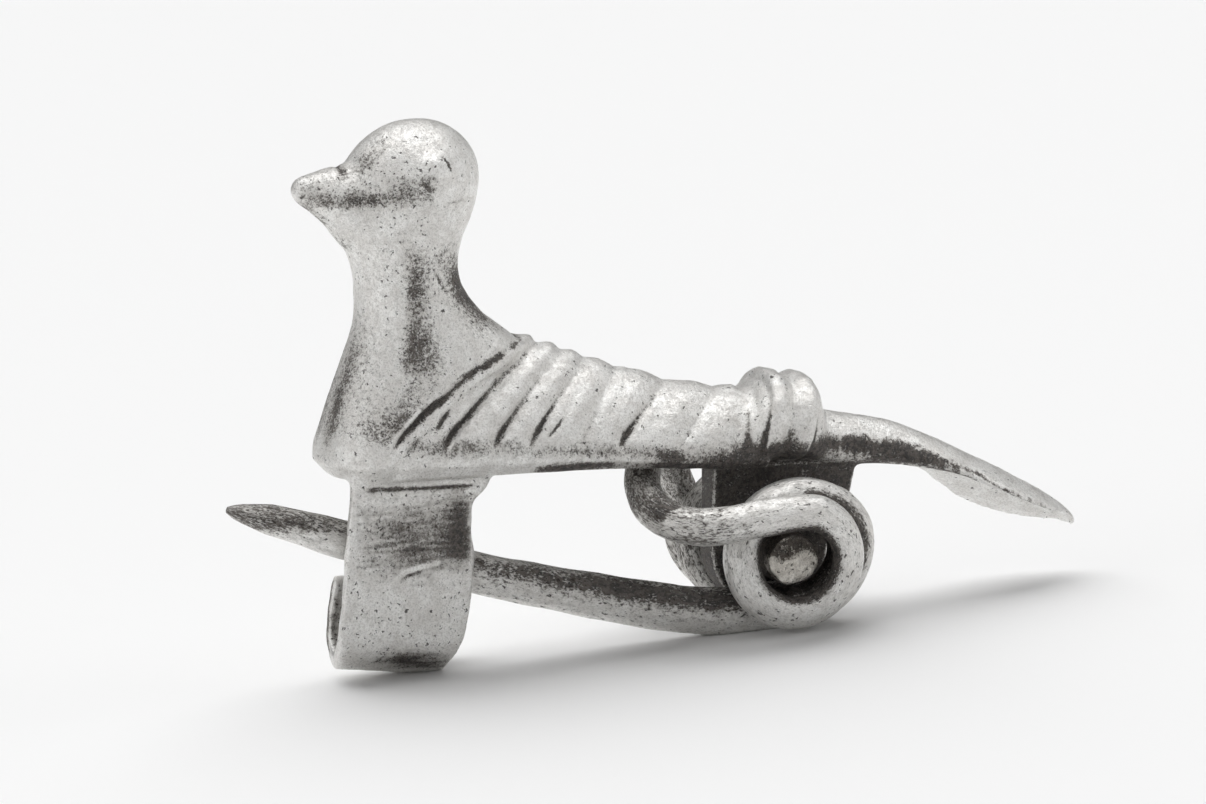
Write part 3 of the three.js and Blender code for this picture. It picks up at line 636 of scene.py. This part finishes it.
bpy.ops.object.select_all(action="DESELECT")
bpy.ops.mesh.primitive_cylinder_add(
    vertices=40, radius=AXLE_RADIUS, depth=AXLE_LENGTH, rotation=(math.pi / 2, 0, 0)
)
axle = bpy.context.active_object
axle.name = "axle_rod"
bpy.ops.object.transform_apply(location=True, rotation=True, scale=True)
applied(axle, "REMESH", mode="VOXEL", voxel_size=AXLE_MESH)
applied(axle, "SMOOTH", factor=0.5, iterations=8)
co = corners(axle)
x, y, z = co.T
at_end = smooth_step(AXLE_LENGTH / 2 - 0.9, AXLE_LENGTH / 2 - 0.2, abs(y))
lumps = at_end * (0.16 * dimples(co, 0.9, 4) + 0.05 * dimples(co, 0.35, 5) - 0.1)
lumps += 0.015 * dimples(co, 0.4, 6)
settle(axle, co + lumps[:, None] * outward(axle))
co = corners(axle)
x, y, z = co.T
# Painted shadow, over a little tarnish: the upper half, the rim and the length inside the coils.
shadowed_upper = smooth_step(-0.1, 0.45, z - 0.25 * np.sin(x * 3.0))
shaded_rim = smooth_step(1.1, 1.4, np.hypot(x, z))
paint(axle, "tarnish_and_shade", 0.02 + 0.9 * shadowed_upper + 0.6 * (1 - at_end) + 0.4 * shaded_rim)
paint(axle, "pitting", 0.75)
paint(axle, "wear", 0.3 * at_end)
paint(axle, "raggedness", 0.7)
axle.data.materials.append(silver_finish("Cut rod silver", tint=(0.98, 0.95, 0.9, 1)))
placed(axle, "bow_body", "axle_silver", "axle")


# ---- The spring and pin ---------------------------------------------------------------
# One length of hand-drawn silver wire: the pin, a turn and a half of coil on the near
# side, the chord looped under the bow, and a little over a turn of coil on the far side.

COIL_RADIUS = 2.8
COIL_PITCH = 2.15
COIL_FIRST_Y = 2.2
FAR_FACE_Y = 5.8
WIRE_SIDES = 28
STEPS_PER_SPAN = 9

# The pin from its point to the first coil, and the chord from coil to coil.
PIN_ROUTE = [
    (-27.75, -0.3, 3.45), (-24.6, -0.35, 2.55), (-21.5, -0.4, 1.52), (-15.3, -0.48, -0.35),
    (-10.45, -0.95, -1.52), (-7.2, -1.5, -2.2), (-4.6, -1.95, -2.62), (-2.4, -2.15, -2.8),
]
CHORD_ROUTE = [
    (-1.9, -5.62, 2.45), (-3.8, -5.6, 2.2), (-5.2, -5.2, 2.1), (-6.3, -4.3, 2.3),
    (-6.85, -3.0, 2.75), (-6.85, -1.6, 3.5), (-6.45, -0.5, 4.4), (-5.75, 0.7, 4.8),
    (-4.9, 2.1, 4.6), (-3.9, 3.6, 4.1), (-3.1, 4.6, 3.0),
]
# How thick the wire is, up and down and from side to side, at each stage: 0 the pin's
# point, 1 the first coil, 2.5 the chord's start, 3.9 the far coil, 5.3 the wire's end.
STAGES = [0, 1, 2.5, 3.9, 5.3]
THICK = [
    (0, 0.16), (0.02, 0.42), (0.08, 0.74), (0.2, 0.92), (0.6, 1.16), (0.9, 1.2), (1.0, 1.08),
    (1.15, 1.1), (1.27, 1.24), (1.4, 1.05), (1.5, 0.93), (1.9, 0.8), (2.1, 0.7), (2.35, 0.7),
    (2.6, 0.92), (3.0, 0.98), (3.3, 0.86), (3.8, 0.82), (4.0, 0.84), (5.0, 0.86), (5.28, 0.8),
    (5.3, 0.35),
]
WIDE = [
    (0, 0.16), (0.02, 0.42), (0.08, 0.72), (0.2, 0.84), (0.45, 0.86), (0.7, 0.96), (1.0, 0.95),
    (2.5, 0.92), (3.0, 0.92), (3.3, 0.86), (3.8, 0.82), (5.0, 0.88), (5.28, 0.8), (5.3, 0.35),
]


def wire_points():
    """The points that the wire runs through, and the stage at each."""
    points = [*PIN_ROUTE]
    ends = [0, len(PIN_ROUTE)]
    # The near coil tightens as it goes, and swells toward the tail on its first turn.
    for turn in range(-80, 441, 20):
        done = (turn + 90) / 540
        radius = COIL_RADIUS + 0.15 * math.sin(math.pi * min(1, done * 2)) - 0.25 * done
        radius += 0.4 * math.exp(-(((turn - 12) / 50) ** 2))
        angle = math.radians(turn)
        points.append((
            radius * math.cos(angle) + 0.3 * (1 - done),
            -COIL_FIRST_Y - COIL_PITCH * (turn + 90) / 360,
            radius * math.sin(angle),
        ))
    ends.append(len(points))
    points += CHORD_ROUTE
    ends.append(len(points))
    for turn in range(155, 626, 20):
        left = (630 - turn) / 360
        radius = COIL_RADIUS - 0.15 * left
        angle = math.radians(turn)
        points.append((
            radius * math.cos(angle),
            COIL_FIRST_Y + COIL_PITCH * left,
            radius * math.sin(angle) + 0.1 * left,
        ))
    ends.append(len(points) - 1)
    return np.array(points), np.interp(np.arange(len(points)), ends, STAGES)


def drawn_through(points, stages, steps):
    """A smooth run through the points, with the stage at each new point."""
    padded = np.vstack([2 * points[0] - points[1], points, 2 * points[-1] - points[-2]])
    run, marks = [], []
    for i in range(len(points) - 1):
        before, start, end, after = padded[i : i + 4]
        for t in np.arange(steps) / steps:
            run.append(0.5 * (
                2 * start + (end - before) * t
                + (2 * before - 5 * start + 4 * end - after) * t**2
                + (3 * start - before - 3 * end + after) * t**3
            ))
            marks.append(stages[i] + (stages[i + 1] - stages[i]) * t)
    return np.vstack([run, points[-1]]), np.array([*marks, stages[-1]])


run, marks = drawn_through(*wire_points(), STEPS_PER_SPAN)
rings = len(run)
heading = np.gradient(run, axis=0)
heading /= np.linalg.norm(heading, axis=1)[:, None]
side = np.zeros_like(run)
side[0] = (0, 1, 0)
for i in range(rings):
    carried = side[max(i - 1, 0)]
    carried = carried - heading[i] * (carried @ heading[i])
    side[i] = carried / np.linalg.norm(carried)
up = np.cross(side, heading)
length = np.concatenate([[0], np.cumsum(np.linalg.norm(np.diff(run, axis=0), axis=1))])
thick = np.interp(marks, *zip(*THICK))
wide = np.interp(marks, *zip(*WIDE))

# A flat strip of squares is rolled up round the run and its seam and ends are welded.
bpy.ops.object.select_all(action="DESELECT")
bpy.ops.mesh.primitive_grid_add(x_subdivisions=WIRE_SIDES, y_subdivisions=rings + 1, size=2)
wire = bpy.context.active_object
wire.name = "spring_wire"
turn = np.linspace(0, 2 * math.pi, WIRE_SIDES + 1)
turn[-1] = 0
row = np.concatenate([[0], np.arange(rings), [rings - 1]])
reach = np.ones(rings + 2)
reach[[0, -1]] = 0
hammered = 1 + 0.018 * np.sin(length * 1.9)[row, None] * np.cos(2 * turn)[None, :]
co = (
    run[row][:, None, :]
    + (wide[row] * reach)[:, None, None] * (hammered * np.cos(turn))[:, :, None] * side[row][:, None, :]
    + (thick[row] * reach)[:, None, None] * (hammered * np.sin(turn))[:, :, None] * up[row][:, None, :]
)
settle(wire, co.reshape(-1, 3))
# Its pattern runs with the wire, so that the grain is drawn out along it.
layer = wire.data.attributes.new("drawn_grain", "FLOAT_VECTOR", "POINT")
grain_at = np.empty(co.shape)
grain_at[:, :, 0] = length[row][:, None] * 0.55
grain_at[:, :, 1] = np.cos(turn)
grain_at[:, :, 2] = np.sin(turn)
layer.data.foreach_set("vector", (grain_at * MM).astype(np.float32).ravel())
only(wire)
bpy.ops.object.mode_set(mode="EDIT")
bpy.ops.mesh.select_all(action="SELECT")
bpy.ops.mesh.remove_doubles(threshold=0.002)
bpy.ops.mesh.normals_make_consistent(inside=False)
bpy.ops.object.mode_set(mode="OBJECT")

co = corners(wire)
uneven = 0.03 * dimples(co, 1.4, 7) + 0.012 * dimples(co, 0.45, 8)
co = co + uneven[:, None] * outward(wire)
# The coils are worn flat where the brooch rests on them, and on their far side.
FLOOR_GAP = 0.002
floor_way = np.array(PLACED.to_3x3())[2] / MM
below = FLOOR_GAP - PLACED.translation.z / MM - co @ floor_way
co += np.maximum(0, below)[:, None] * floor_way
co[:, 1] = np.minimum(co[:, 1], FAR_FACE_Y)
settle(wire, co)

# The coils are darkened where they face the axle, partly tarnish and partly painted shade.
# Painted shade also darkens the top of the pin, the chord where it passes under the bow and
# the far half of the spring, and painted reflection of the table lightens the coil's lower
# outer faces.
x, y, z = co.T
way = outward(wire)
from_axle = np.hypot(x, z)
to_axle = -(way[:, 0] * x + way[:, 2] * z) / np.maximum(from_axle, 0.5)
in_coil = smooth_step(4.6, 4.1, from_axle) * smooth_step(-3.2, -2.2, x)
on_pin = smooth_step(1.0, -1.0, x) * (abs(y) < 3.2) * (z < -0.19 * (x + 10))
upper_side = np.exp(-(((way[:, 2] - 0.45) / 0.42) ** 2))
# Partly tarnish, partly painted shade: the coils' faces toward the axle.
dark = 0.15 + 0.95 * in_coil * smooth_step(0.35, 0.85, to_axle)
# Painted reflection: the coil's lower outer faces are lightened.
dark -= 0.35 * in_coil * smooth_step(0.2, -0.3, to_axle) * smooth_step(0.0, -1.5, z)
# Painted shade: the pin's upper side, under the bow.
dark += on_pin * (0.3 + 0.45 * smooth_step(-21, -8, x)) * upper_side
dark += 0.35 * on_pin * smooth_step(-14, -6, x) * smooth_step(0.2, 0.8, way[:, 2])
# Painted shade: the chord under the bow, and the far half of the spring.
dark += 0.3 * smooth_step(-1.5, -5.5, x) * smooth_step(-3.0, -5.0, y)
dark += 0.5 * smooth_step(1.9, 2.8, z) * smooth_step(-5.0, -6.8, x) * (abs(y) < 5)
dark += 0.4 * smooth_step(0.3, 1.2, y)
dark += 0.6 * smooth_step(0.02, 0.12, hollowness(wire, 10))
# Painted shade lies in the seam between the near coil's two windings, on the tail side.
half_turn_on = np.degrees(np.arctan2(z, x)) + 90 + 180
between = -COIL_FIRST_Y - COIL_PITCH * half_turn_on / 360
dark += 1.1 * in_coil * np.exp(-(((y - between) / 0.22) ** 2)) * smooth_step(0.0, 1.2, x)
pin_flank = on_pin * smooth_step(0.3, 0.0, abs(way[:, 2] - 0.05))
paint(wire, "tarnish_and_shade", dark)
paint(wire, "pitting", 0.45 + 0.3 * in_coil + 0.5 * pin_flank)
paint(wire, "wear", 0.5 * smooth_step(0.3, 0.9, way[:, 2]))
paint(wire, "raggedness", 0.7)
wire.data.materials.append(silver_finish("Drawn silver", pattern_layer="drawn_grain"))
placed(wire, "pin_body", "wire_silver", "spring_pin")


# ---- The table, the lights and the camera ---------------------------------------------
# A plain white table in a soft white tent: wide lamps above, in front and at both sides,
# and the darker room behind the camera, which the silver shows as soft grey bands.

bpy.ops.object.select_all(action="DESELECT")
bpy.ops.mesh.primitive_plane_add(size=6)
table = bpy.context.active_object
table.name = "table"
paper = bpy.data.materials.new("White paper")
paper.use_nodes = True
sheet = paper.node_tree.nodes["Principled BSDF"].inputs
sheet["Base Color"].default_value = (0.9, 0.9, 0.9, 1)
sheet["Roughness"].default_value = 0.9
sheet["Specular IOR Level"].default_value = 0.1
table.data.materials.append(paper)

# The camera stands on the near side, a little toward the head and a little above. It leans
# with the brooch.
RIGHT = Matrix.Rotation(LEAN, 3, "Y") @ Vector((0.9455, -0.3256, 0))
BACK = Matrix.Rotation(LEAN, 3, "Y") @ Vector((-0.3206, -0.9312, 0.1736))
AIM = PLACED @ Vector((-8.4, 0, 7.59))
CAMERA_DISTANCE = 0.65
VIEW_WIDTH = 0.05897

lens = bpy.data.cameras.new("camera")
lens.sensor_width = 36
lens.lens = 36 * CAMERA_DISTANCE / VIEW_WIDTH
lens.clip_end = 20
camera = bpy.data.objects.new("camera", lens)
bpy.context.scene.collection.objects.link(camera)
across = RIGHT.normalized()
behind = BACK.normalized()
over = behind.cross(across).normalized()
camera.matrix_world = Matrix((
    (across.x, over.x, behind.x, AIM.x + behind.x * CAMERA_DISTANCE),
    (across.y, over.y, behind.y, AIM.y + behind.y * CAMERA_DISTANCE),
    (across.z, over.z, behind.z, AIM.z + behind.z * CAMERA_DISTANCE),
    (0, 0, 0, 1),
))
bpy.context.scene.camera = camera


def lamp(name, toward, distance, size, power, lights_table=True):
    """A square soft lamp that looks at the brooch from the given direction."""
    light = bpy.data.lights.new(name, "AREA")
    light.shape = "RECTANGLE"
    light.size, light.size_y = size
    light.energy = power
    holder = bpy.data.objects.new(name, light)
    bpy.context.scene.collection.objects.link(holder)
    toward = Vector(toward).normalized()
    holder.location = AIM + toward * distance
    holder.rotation_euler = toward.to_track_quat("Z", "Y").to_euler()
    holder.visible_diffuse = lights_table


lamp("overhead", (0.1, 0.2, 1.0), 1.6, (3.0, 1.6), 27, lights_table=False)
lamp("front", (0.0, -0.85, 1.0), 1.5, (1.8, 0.9), 4.8, lights_table=False)
lamp("left", (-1.0, -0.1, 0.35), 1.2, (0.8, 1.0), 3.0)
lamp("right", (1.0, -0.2, 0.3), 1.2, (0.8, 1.0), 2.2)

# The table itself is lit evenly through the tent's back wall, so the shadow comes forward.
glow = bpy.data.lights.new("back wall", "SUN")
glow.energy = 3.2
glow.angle = math.radians(80)
back_wall = bpy.data.objects.new("back wall", glow)
bpy.context.scene.collection.objects.link(back_wall)
back_wall.rotation_euler = Vector((0.0, 0.8, 1.0)).to_track_quat("Z", "Y").to_euler()
back_wall.visible_glossy = False

world = bpy.data.worlds.new("tent")
world.use_nodes = True
sky = world.node_tree.nodes["Background"].inputs
sky["Color"].default_value = (1, 1, 1, 1)
sky["Strength"].default_value = 0.15
bpy.context.scene.world = world
bpy.context.scene.view_settings.view_transform = "Standard"
